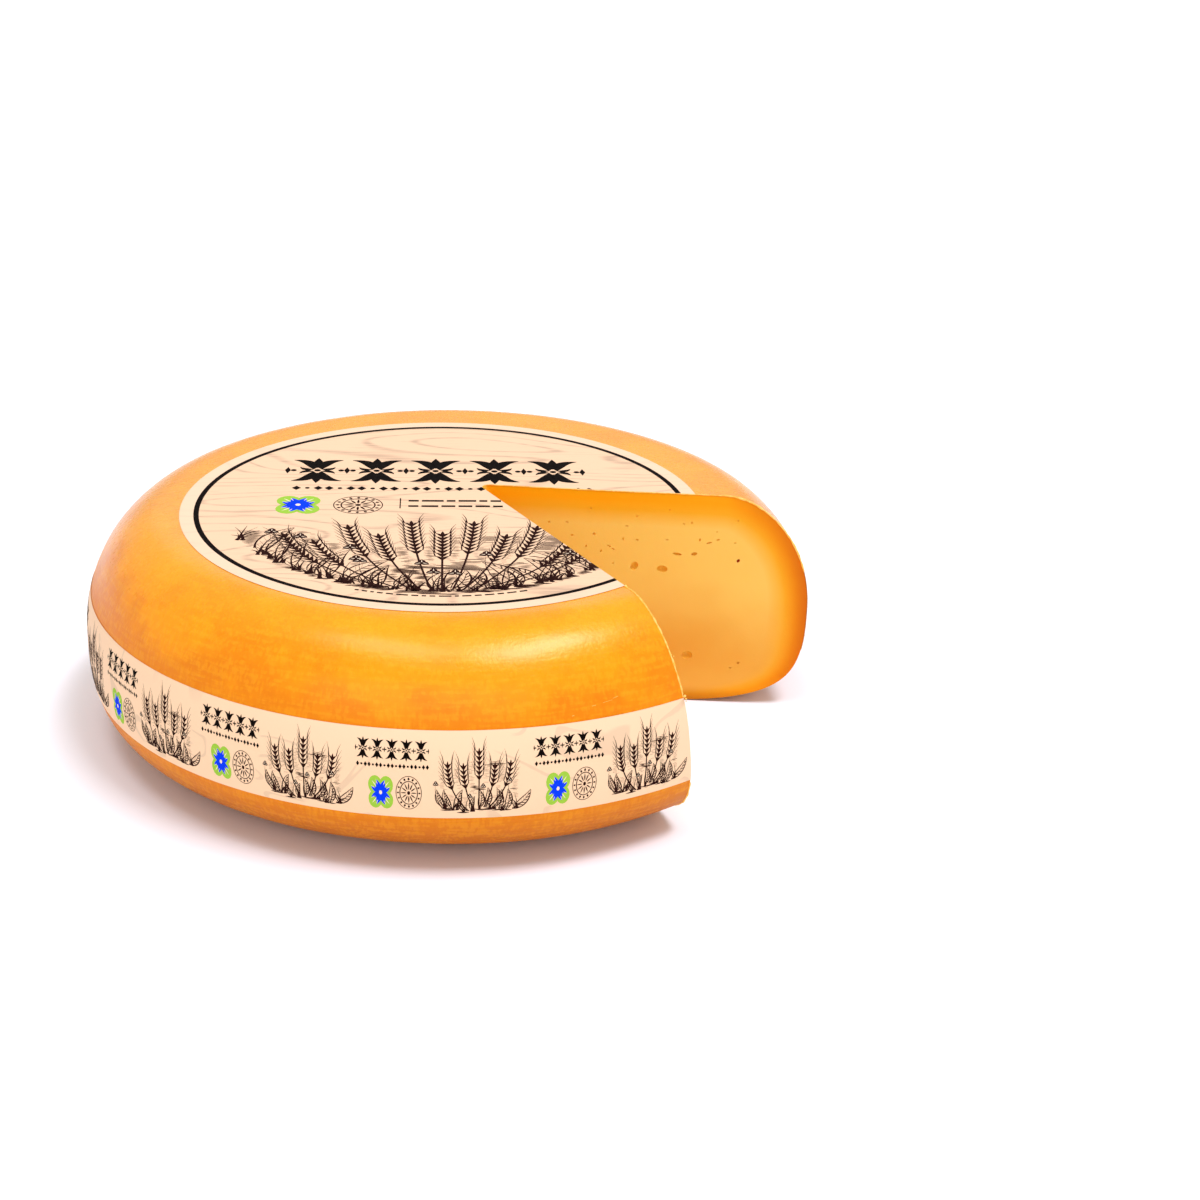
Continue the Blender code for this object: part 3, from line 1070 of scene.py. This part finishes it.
class Drawing:
    def __init__(self):
        self.points = []
        self.faces = []
        self.inks = []
        self.covered = []  # round spots that the hatching keeps off

    def addFaces(self, ink, points, faces):
        first = len(self.points)
        self.points += points
        self.faces += [tuple(first + corner for corner in face) for face in faces]
        self.inks += [inkNames.index(ink)] * len(faces)

    def stroke(self, ink, path, width, shape="pen", closed=False):
        points = []
        last = len(path) - 1
        for index, place in enumerate(path):
            if closed:
                ahead = path[(index + 1) % len(path)] - path[index - 1]
            else:
                ahead = path[min(index + 1, last)] - path[max(index - 1, 0)]
            wide = width[index] if isinstance(width, list) else width * strokeShapes[shape](index / last)
            side = 1j * ahead / abs(ahead) * wide / 2
            points += [place - side, place + side]
        faces = [(2 * i, 2 * i + 2, 2 * i + 3, 2 * i + 1) for i in range(last)]
        if closed:
            faces.append((2 * last, 0, 1, 2 * last + 1))
        self.addFaces(ink, points, faces)

    def cover(self, path, radius):
        self.covered += [(place, radius) for place in path]

    def isCovered(self, place):
        return any(abs(place - spot) < radius for spot, radius in self.covered)

    def ring(self, ink, middle, wide, high, width, steps=48):
        path = [middle + onOval(360 * step / steps, wide, high) for step in range(steps)]
        self.stroke(ink, path, width, "even", closed=True)

    def disc(self, ink, middle, wide, high, steps=20):
        rings = max(1, math.ceil(max(wide, high) / 2.5))  # fine enough to follow the paper
        points = [middle]
        for ring in range(1, rings + 1):
            for step in range(steps):
                points.append(middle + onOval(360 * step / steps, wide, high) * ring / rings)
        self.addFaces(ink, points, discFaces(rings, steps))

    def lozenge(self, ink, middle, wide, high):
        corners = [middle + wide / 2, middle + high / 2 * 1j, middle - wide / 2, middle - high / 2 * 1j]
        self.addFaces(ink, corners, [(0, 1, 2, 3)])

    def flower(self, ink, middle, wide, high, petals, width, turn=0.0, inner=0.12):
        for petal in range(petals):
            way = onOval(turn + 360 * petal / petals, wide / 2, high / 2)
            self.stroke(ink, bowed(middle + way * inner, middle + way, 0.0, 6), width, "petal")

    def leaf(self, ink, start, end, bow, width, pen):  # outline, middle rib and shading on one half
        steps = 8
        spine = bowed(start, end, bow, steps)
        sides = []
        for index in range(steps + 1):
            ahead = spine[min(index + 1, steps)] - spine[max(index - 1, 0)]
            wide = width / 2 * strokeShapes["petal"](index / steps)
            sides.append(1j * ahead / abs(ahead) * wide)
        self.stroke(ink, [a + b for a, b in zip(spine, sides)], pen)
        self.stroke(ink, [a - b for a, b in zip(spine, sides)], pen * 1.3)
        self.stroke(ink, spine, pen * 1.1, "blade")
        for index in range(1, steps - 1):
            tip = spine[index + 1] - sides[index + 1] * 0.92
            self.stroke(ink, [spine[index], (spine[index] + tip) / 2, tip], pen)
            self.stroke(ink, [spine[index], spine[index + 1] + sides[index + 1] * 0.8], pen * 0.6)
        self.cover(spine[1:-1], width * 0.42)

    def ear(self, ink, start, end, bow, grain, pen):  # a stalk with an ear of grain on its end
        steps, first, last = 24, 13, 23.5  # of the stalk, and where on it the first and last grains sit
        stalk = bowed(start, end, bow, steps)
        self.stroke(ink, stalk[::2], pen * 1.3, "even")
        self.cover(stalk[first - 1:], grain * 0.5)
        count = max(4, round(abs(stalk[steps] - stalk[first]) / grain / 0.62))
        for index in range(count):
            share = first + (last - first) * index / (count - 1)
            low = int(share)
            ahead = stalk[low + 1] - stalk[low]
            root = stalk[low] + ahead * (share - low)
            ahead /= abs(ahead)
            for side in (1, -1):
                tip = root + ahead * pointing(side * 33) * grain
                self.stroke(ink, bowed(root, tip, -0.12 * side, 4), grain * 0.30, "petal")
                awn = tip + ahead * pointing(side * 14) * grain * 2.0
                self.stroke(ink, bowed(tip, awn, -0.05 * side, 2), pen * 0.9, "blade")
        self.stroke(ink, bowed(stalk[-1], stalk[-1] + ahead * grain, 0.0, 4), grain * 0.3, "petal")

    def tuft(self, ink, root, height, blades, pen, chance):
        for _ in range(blades):
            lean = chance.uniform(-50, 50)
            tall = height * chance.uniform(0.5, 1.0) * (1 - abs(lean) / 110)
            tip = root + pointing(90 - lean) * tall
            start = root + chance.uniform(-0.15, 0.15) * height
            self.stroke(ink, bowed(start, tip, lean / 260, 4), pen * chance.uniform(1.0, 2.2), "blade")

    def clover(self, ink, root, head, size, pen):
        self.stroke(ink, bowed(root, head, 0.1, 5), pen, "blade")
        for turn in (90, 210, 330):
            way = pointing(turn) * size
            self.stroke(ink, bowed(head, head + way, 0.0, 6), size * 0.95, "petal")
            self.stroke("cream", [head + way * 0.2, head + way * 0.85], pen * 0.7, "blade")
        self.cover([head], size)

    def bars(self, ink, start, length, height, chance):  # a line of plain bars, for small print
        place = start
        while (place - start).real < length:
            long = min(height * chance.uniform(1.5, 5.0), length - (place - start).real)
            if long > height * 0.5:
                steps = max(1, round(long / 4))
                self.stroke(ink, bowed(place, place + long, 0.0, steps), height, "even")
            place += long + height * 0.7


def drawHeading(drawing, left, low, wide, high, flowers):  # a bold frieze of flowers and lozenges
    step = wide / flowers
    for index in range(flowers):
        middle = complex(left + step * (index + 0.5), low + high / 2)
        for across, up in ((1, 1), (-1, 1), (-1, -1), (1, -1)):
            root = middle + complex(across * step * 0.07, up * high * 0.04)
            tip = middle + complex(across * step * 0.42, up * high * 0.42)
            drawing.stroke("black", bowed(root, tip, across * up * 0.22, 8), step * 0.21, "petal")
            bud = middle + complex(across * step * 0.30, up * high * 0.13)
            drawing.stroke("black", bowed(root, bud, -across * up * 0.2, 5), step * 0.10, "petal")
        for up in (1, -1):
            drawing.stroke("black", bowed(middle + up * high * 0.10j, middle + up * high * 0.5j, 0.0, 8),
                           step * 0.18, "petal")
            drawing.disc("black", middle + up * step * 0.40, step * 0.05, step * 0.05, 10)
            drawing.lozenge("black", middle + up * step * 0.5, step * 0.10, high * 0.26)
        drawing.disc("black", middle, step * 0.055, step * 0.055, 12)


def drawRow(drawing, ink, left, middle, wide, high, count):  # a row of small lozenges and dots
    step = wide / (count - 1)
    for index in range(count):
        place = complex(left + step * index, middle)
        if index % 3 == 1:
            drawing.disc(ink, place, high * 0.22, high * 0.22, 8)
        else:
            drawing.lozenge(ink, place, step * 0.86, high)


def drawCloverSeal(drawing, middle, wide, high):  # a green four-lobed leaf under a blue flower
    for turn in (45, 135, 225, 315):
        lobe = middle + onOval(turn, wide, high) * 0.31
        drawing.disc("green", lobe, wide * 0.27, high * 0.27, 16)
    drawing.disc("green", middle, wide * 0.25, high * 0.25, 16)
    # ink, size, petals, width, turn and start of the petals: the leaf's veins, then the flower
    for ink, size, petals, width, turn, inner in (("cream", 0.96, 4, 0.03, 45.0, 0.5),
                                                  ("cream", 0.84, 4, 0.02, 27.0, 0.6),
                                                  ("cream", 0.84, 4, 0.02, 63.0, 0.6),
                                                  ("blue", 0.78, 8, 0.22, 22.5, 0.05)):
        drawing.flower(ink, middle, wide * size, high * size, petals, wide * width, turn, inner)
    drawing.disc("cream", middle, wide * 0.06, high * 0.06, 10)


def drawLineSeal(drawing, middle, wide, high, pen):  # a fine sepia rosette
    drawing.flower("sepia", middle, wide * 0.62, high * 0.62, 12, wide * 0.05, 0.0, 0.3)
    drawing.ring("sepia", middle, wide * 0.34, high * 0.34, pen, 32)
    drawing.ring("sepia", middle, wide * 0.49, high * 0.49, pen * 0.7, 40)
    drawing.disc("sepia", middle, wide * 0.06, high * 0.06, 10)
    for petal in range(16):
        way = onOval(22.5 * petal, wide, high)
        drawing.stroke("sepia", bowed(middle + way * 0.37, middle + way * 0.46, 0.0, 3), pen * 2.4,
                       "petal")


def drawMeadow(drawing, plan, ground):  # ears, leaves, clover and tufts on a hatched ground
    chance = random.Random(plan["seed"])
    middle = (plan["left"] + plan["right"]) / 2
    half = (plan["right"] - plan["left"]) / 2
    unit, pen, top = plan["unit"], plan["pen"], plan["top"]
    for index in range(plan["ears"]):
        share = index / (plan["ears"] - 1) * 2 - 1
        foot = middle + share * half * 0.25
        tip = complex(middle + share * half * 0.78,
                      top - abs(share) ** 2 * unit * 0.8 - (index % 2) * unit * 0.7)
        drawing.ear("sepia", complex(foot, ground(foot)), tip, -0.10 * share, unit * plan["grain"], pen)
    for index in range(plan["leaves"]):
        share = (index + 0.5) / plan["leaves"] * 2 - 1
        foot = middle + share * half * 0.93
        long = unit * chance.uniform(1.0, 1.7) * (0.75 + 0.4 * abs(share))
        turn = 90 - share * plan["lean"] + chance.uniform(-24, 24)
        root = complex(foot, ground(foot))
        drawing.leaf("sepia", root, root + pointing(turn) * long, math.copysign(0.10, -share),
                     long * 0.28, pen)
    for index in range(plan["clovers"]):
        foot = middle + half * (0.92 * (2 * index / (plan["clovers"] - 1) - 1))
        root = complex(foot, ground(foot))
        head = root + pointing(90 + chance.uniform(-25, 25)) * unit * chance.uniform(1.0, 2.1)
        drawing.clover("sepia", root, head, unit * 0.19, pen)
    for index in range(plan["tufts"]):
        foot = plan["left"] + 2 * half * (index + chance.uniform(0.1, 0.9)) / plan["tufts"]
        drawing.tuft("sepia", complex(foot, ground(foot) - unit * 0.1), unit * chance.uniform(0.5, 1.2),
                     plan["blades"], pen, chance)
    drawHatching(drawing, plan, ground, chance)


def drawHatching(drawing, plan, ground, chance):  # level lines that swell where the tone is dark
    unit = plan["unit"]
    low = min(ground(x) for x in (plan["left"], (plan["left"] + plan["right"]) / 2, plan["right"]))
    level = low - unit * 0.25
    while level < plan["top"]:
        across = plan["left"] + chance.uniform(0, plan["stride"])
        path, widths = [], []
        while across < plan["right"]:
            wave = noise.noise(Vector((across, level, 3.0)) / unit * 0.5) * unit * 0.14
            place = complex(across, level + wave)
            over = (place.imag - ground(across)) / unit
            side = min(across - plan["left"], plan["right"] - across) / unit
            # the tone fades upwards, towards both sides and under the top, and is uneven
            tone = plan["tone"] - 0.30 * over + min(side * 0.9 - 0.55, 0.0)
            tone -= max(0.0, 1 - (plan["top"] - level) / unit) * 0.6
            tone += 0.50 * noise.noise(Vector((across * 0.6, level * 1.6, 9.0)) / unit)
            gap = over < -0.25 or tone < 0.22 or drawing.isCovered(place) or chance.random() < 0.07
            if not gap:
                path.append(place)
                widths.append(plan["pen"] * min(0.35 + tone, 1.5))
            if gap or across + plan["stride"] >= plan["right"]:
                if len(path) > 1:
                    widths[0] = widths[-1] = plan["pen"] * 0.2
                    drawing.stroke("sepia", path, widths)
                path, widths = [], []
            across += plan["stride"]
        level += plan["row"]


labelDrawing = {  # millimetres from the middle of the label
    "ringRadius": 119.7,
    "ringWidth": 2.6,
    "heading": (-78.7, 34.5, 149.4, 36.0, 5),
    "row": (-73.0, 27.2, 146.0, 5.6, 28),
    "cloverSeal": (-70.9 + 3.8j, 22.0, 24.6),
    "lineSeal": (-41.6 + 4.2j, 24.4, 24.0, 0.75),
    "divider": (-21 + 0j, -21 + 14j),
    "dividerWidth": 0.6,
    "lines": ((-17 + 10.5j, 49.0), (-17 + 3.2j, 49.0)),
    "lineHeight": 2.2,
    "lineSeed": 8,
    "groundRadius": 103.0,
    "footRadius": 110.0,
    "footTurn": 21.0,  # degrees to each side that the broken line at the foot reaches
    "footDash": (0.8, 3.0),
    "footGap": 0.8,
    "footWidth": 1.3,
}
labelMeadow = {
    "left": -96.0,
    "right": 96.0,
    "top": -22.0,
    "unit": 21.0,  # about the length of a leaf
    "pen": 0.80,
    "row": 1.35,  # between two lines of the hatching
    "stride": 2.4,
    "tone": 1.06,
    "lean": -38.0,  # degrees that the leaves lean outwards at the ends
    "ears": 11,
    "grain": 0.30,  # of a leaf's length
    "leaves": 22,
    "clovers": 13,
    "tufts": 30,
    "blades": 7,
    "seed": 5,
}


def drawLabel():
    drawing = Drawing()
    drawing.ring("black", 0j, labelDrawing["ringRadius"], labelDrawing["ringRadius"],
                 labelDrawing["ringWidth"], 180)
    drawHeading(drawing, *labelDrawing["heading"])
    drawRow(drawing, "black", *labelDrawing["row"])
    drawCloverSeal(drawing, *labelDrawing["cloverSeal"])
    drawLineSeal(drawing, *labelDrawing["lineSeal"])
    drawing.stroke("black", bowed(*labelDrawing["divider"], 0.0, 4), labelDrawing["dividerWidth"],
                   "even")
    chance = random.Random(labelDrawing["lineSeed"])
    for start, length in labelDrawing["lines"]:
        drawing.bars("black", start, length, labelDrawing["lineHeight"], chance)
    radius = labelDrawing["groundRadius"]
    drawMeadow(drawing, labelMeadow, lambda x: -math.sqrt(radius ** 2 - x ** 2))
    turn = -90 - labelDrawing["footTurn"]
    while turn < -90 + labelDrawing["footTurn"]:
        long = chance.uniform(*labelDrawing["footDash"])
        path = [pointing(turn + long * step / 2) * labelDrawing["footRadius"] for step in range(3)]
        drawing.stroke("black", path, labelDrawing["footWidth"], "even")
        turn += long + labelDrawing["footGap"]
    return drawing


bandDrawing = {  # millimetres from the left edge of one printed unit, and above the floor
    "pitch": math.radians(25.2),
    "firstTurn": math.radians(-103.6 - 11 * 25.2),  # eleven units lie before the front one
    "count": 13,
    "heading": (0.0, 59.4, 32.4, 10.2, 5),
    "row": (1.0, 57.0, 31.0, 2.4, 19),
    "cloverSeal": (11.2 + 43.5j, 11.4, 17.0),
    "lineSeal": (23.7 + 44j, 11.5, 17.0, 0.40),
    "ground": 36.0,
    "groundWave": 0.35,
}
bandMeadow = {
    "left": 37.0,
    "right": 72.4,
    "top": 63.0,
    "unit": 7.6,
    "pen": 0.44,
    "row": 0.70,
    "stride": 1.9,
    "tone": 1.40,
    "lean": 22.0,
    "ears": 5,
    "grain": 0.42,
    "leaves": 11,
    "clovers": 4,
    "tufts": 9,
    "blades": 5,
    "seed": 3,
}


def drawBand():
    signs = Drawing()
    drawHeading(signs, *bandDrawing["heading"])
    drawRow(signs, "black", *bandDrawing["row"])
    drawCloverSeal(signs, *bandDrawing["cloverSeal"])
    drawLineSeal(signs, *bandDrawing["lineSeal"])
    picture = Drawing()
    low, wave = bandDrawing["ground"], bandDrawing["groundWave"]
    drawMeadow(picture, bandMeadow, lambda x: low + math.sin(x * wave))
    return signs, picture


def printTree(name, around):  # throws flat print on to the label, or many times round the band
    sockets = {"Geometry": "Geometry", "Paper": "Object", "Lift": "Float", "Radius": "Float",
               "Count": "Int", "Pitch": "Float", "First Turn": "Float", "Ray Start": "Float",
               "Middle": "Vector"}
    sockets.update({ink.capitalize(): "Material" for ink in inkNames})
    board, given = newTree(name, sockets)
    shapes = given.of("Geometry")
    if around:
        step = board.add("ShaderNodeCombineXYZ", None, {"X": given.of("Pitch") * given.of("Radius")})
        first = board.add("ShaderNodeCombineXYZ", None,
                          {"X": given.of("First Turn") * given.of("Radius")})
        row = board.add("GeometryNodeMeshLine", None, {"Count": given.of("Count"),
                                                       "Start Location": first, "Offset": step})
        units = board.add("GeometryNodeInstanceOnPoints", None, {"Points": row, "Instance": shapes})
        shapes = board.realized(units)
        flat = board.add("ShaderNodeSeparateXYZ", None, {0: board.add("GeometryNodeInputPosition")})
        turn = flat.of("X") / given.of("Radius")
        way = board.add("ShaderNodeCombineXYZ", None,
                        {"X": turn.maths("COSINE"), "Y": turn.maths("SINE")})
        up = board.add("ShaderNodeCombineXYZ", None, {"Z": flat.of("Y")})
        far = board.scaled(way, given.of("Radius") + given.of("Ray Start"))
        ray = board.scaled(way, -1.0)
    else:
        up = board.add("GeometryNodeInputPosition")
        far = given.of("Middle")
        ray = (0.0, 0.0, -1.0)
    start = board.vectors("ADD", up, far)
    paper = board.add("GeometryNodeObjectInfo", {"transform_space": "RELATIVE"},
                      {"Object": given.of("Paper")}, output="Geometry")
    hit = board.add("GeometryNodeRaycast", None, {"Target Geometry": paper, "Source Position": start,
                                                  "Ray Direction": ray, "Ray Length": 1.0})
    rise = board.stored("FLOAT", "rise") + 1.0
    away = board.scaled(hit.of("Hit Normal"), given.of("Lift") * rise)
    place = board.vectors("ADD", hit.of("Hit Position"), away)
    shapes = board.add("GeometryNodeSetPosition", None, {"Geometry": shapes, "Position": place})
    shapes = board.realized(shapes)
    kind = board.stored("INT", "ink")
    for index, ink in enumerate(inkNames):
        chosen = board.add("FunctionNodeCompare", {"data_type": "INT", "operation": "EQUAL"},
                           {2: kind, 3: index})
        shapes = board.add("GeometryNodeSetMaterial", None,
                           {"Geometry": shapes, "Selection": chosen,
                            "Material": given.of(ink.capitalize())})
    board.add("NodeGroupOutput", None, {0: shapes})
    return board.tree


def makePrint(name, drawing, around, paper, materials):
    points = [(place.real * millimetre, place.imag * millimetre, 0.0) for place in drawing.points]
    piece = newPiece(name, points, drawing.faces)
    kinds = piece.data.attributes.new("ink", "INT", "FACE")
    rises = piece.data.attributes.new("rise", "FLOAT", "POINT")
    for face, kind in zip(piece.data.polygons, drawing.inks):
        kinds.data[face.index].value = kind
        for corner in face.vertices:
            rises.data[corner].value = papers["inkRise"].get(inkNames[kind], 0.0)
    values = {"Paper": paper, "Lift": papers["printLift"], "Radius": wheelRadius,
              "Count": bandDrawing["count"], "Pitch": bandDrawing["pitch"],
              "First Turn": bandDrawing["firstTurn"], "Ray Start": papers["bandRayStart"],
              "Middle": labelCentre + Vector((0, 0, papers["labelRayStart"]))}
    values.update({ink.capitalize(): material for ink, material in zip(inkNames, materials)})
    runTree(piece, printTree(name + "Tree", around), values)
    return piece


def makeInk(name):
    material, board = newMaterial(name + "Ink")
    tooth = board.noise(board.onPiece(), 900.0)
    lighter = tuple(0.98 * part + 0.02 * cream for part, cream in zip(inks[name], inks["cream"]))
    colour = board.mix(tooth.between(0.45, 0.8) * 0.5, inks[name], lighter)
    finishMaterial(board, {"Base Color": colour, "Roughness": 0.75 + (tooth - 0.5) * 0.2,
                           "Specular IOR Level": 0.04})
    return material


topLabel = makeLabelSheet(makeLabelPaper())
sideBand = makeBandSheet(makeBandPaper())
inkMaterials = [makeInk(name) for name in inkNames]
labelPrint = makePrint("labelPrint", drawLabel(), False, topLabel, inkMaterials)
bandSigns, bandPictures = (makePrint(name, drawing, True, sideBand, inkMaterials) for name, drawing
                           in zip(("bandSigns", "bandPictures"), drawBand()))
print("papers printed")
for piece in (topLabel, sideBand, labelPrint, bandSigns, bandPictures):
    openNotch(piece, wheelHeight if piece in (topLabel, labelPrint) else bandHigh.z)
    thicken(piece, papers["thickness" if piece in (topLabel, sideBand) else "printThickness"])
    smooth(piece, degrees=40)
print("papers cut open")


# Floor, light and camera

studio = {
    "paper": fromScreen(252, 252, 252),
    "floorReach": 6.0,
    "surround": 0.52,
    "lamps": {  # place, size, power and tint
        "key": ((3.8, -2.3, 12.0), (6.0, 2.5), 900.0, (1.0, 1.0, 1.15)),
        # carries the highlight on to the left, more weakly
        "spread": ((-2.6, -2.3, 12.0), (6.0, 2.7), 320.0, (1.0, 1.0, 1.15)),
        "fill": ((-1.2, -7.0, 3.0), (9.0, 5.0), 148.0, (1.0, 1.0, 1.0)),
        # pale sheen on the far side
        "back": ((2.0, 9.0, 5.0), (14.0, 4.0), 90.0, (1.0, 1.0, 1.0)),
    },
}


def makeLight(name, place, size, power, tint):
    lamp = bpy.data.lights.new(name, "AREA")
    lamp.shape = "RECTANGLE"
    lamp.size, lamp.size_y = size
    lamp.energy = power
    lamp.color = tint
    light = bpy.data.objects.new(name, lamp)
    light.location = place
    aim = Vector((0.0, 0.0, wheelHeight / 2)) - Vector(place)
    light.rotation_euler = aim.to_track_quat("-Z", "Y").to_euler()
    bpy.context.scene.collection.objects.link(light)


def makeFloor():
    material, board = newMaterial("studioPaper")
    grain = board.noise(board.onPiece(), 40.0)
    finishMaterial(board, {"Base Color": studio["paper"], "Roughness": 0.7 + (grain - 0.5) * 0.1})
    reach = studio["floorReach"]
    corners = [(-reach, -reach, 0), (reach, -reach, 0), (reach, reach, 0), (-reach, reach, 0)]
    floor = newPiece("floor", corners, [(0, 1, 2, 3)], material)


def makeWorld():
    world = bpy.data.worlds.new("paleStudio")
    world.use_nodes = True
    air = world.node_tree.nodes["Background"]
    air.inputs["Color"].default_value = (1.0, 1.0, 1.0, 1.0)
    air.inputs["Strength"].default_value = studio["surround"]
    bpy.context.scene.world = world


view = {
    "distance": 1.3095,  # from the middle of the cheese
    "elevation": math.radians(23.22),
    "turnRight": math.radians(3.24),  # how far the camera looks to the right of the middle
    "turnUp": math.radians(0.171),
    "roll": math.radians(0.182),
    "focalPixels": 2606.0,
    "framePixels": 1200.0,
    "sensor": 36.0,
}


def makeCamera():
    low = view["elevation"]
    place = Vector((0.0, -math.cos(low), math.sin(low))) * view["distance"]
    place.z += wheelHeight / 2
    aim = Matrix.Rotation(math.pi / 2 - low, 3, "X")
    aim = aim @ Matrix.Rotation(-view["turnRight"], 3, "Y")
    aim = aim @ Matrix.Rotation(view["turnUp"], 3, "X")
    aim = aim @ Matrix.Rotation(view["roll"], 3, "Z")
    data = bpy.data.cameras.new("camera")
    data.sensor_width = view["sensor"]
    data.lens = view["sensor"] * view["focalPixels"] / view["framePixels"]
    camera = bpy.data.objects.new("camera", data)
    camera.matrix_world = Matrix.Translation(place) @ aim.to_4x4()
    bpy.context.scene.collection.objects.link(camera)
    bpy.context.scene.camera = camera


makeWorld()
makeFloor()
for lampName, (place, size, power, tint) in studio["lamps"].items():
    makeLight(lampName + "Light", place, size, power, tint)
makeCamera()
bpy.context.scene.view_settings.view_transform = "Standard"
print("studio set")

handOver = (
    (cheeseWheel, "cheese_wheel", "cheese"),
    (topLabel, "top_label", "label_paper"),
    (sideBand, "side_band", "band_paper"),
    (labelPrint, None, "label_paper"),
    (bandSigns, None, "band_paper"),
    (bandPictures, None, "band_paper"),
    (cutEdges, None, "cheese"),
    (topEdge, None, "cheese"),
    (scratches, None, "cheese"),
    (crumbs, None, "cheese"),
)
for piece, node, slot in handOver:
    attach(piece, "root")
    if node:
        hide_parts(node)
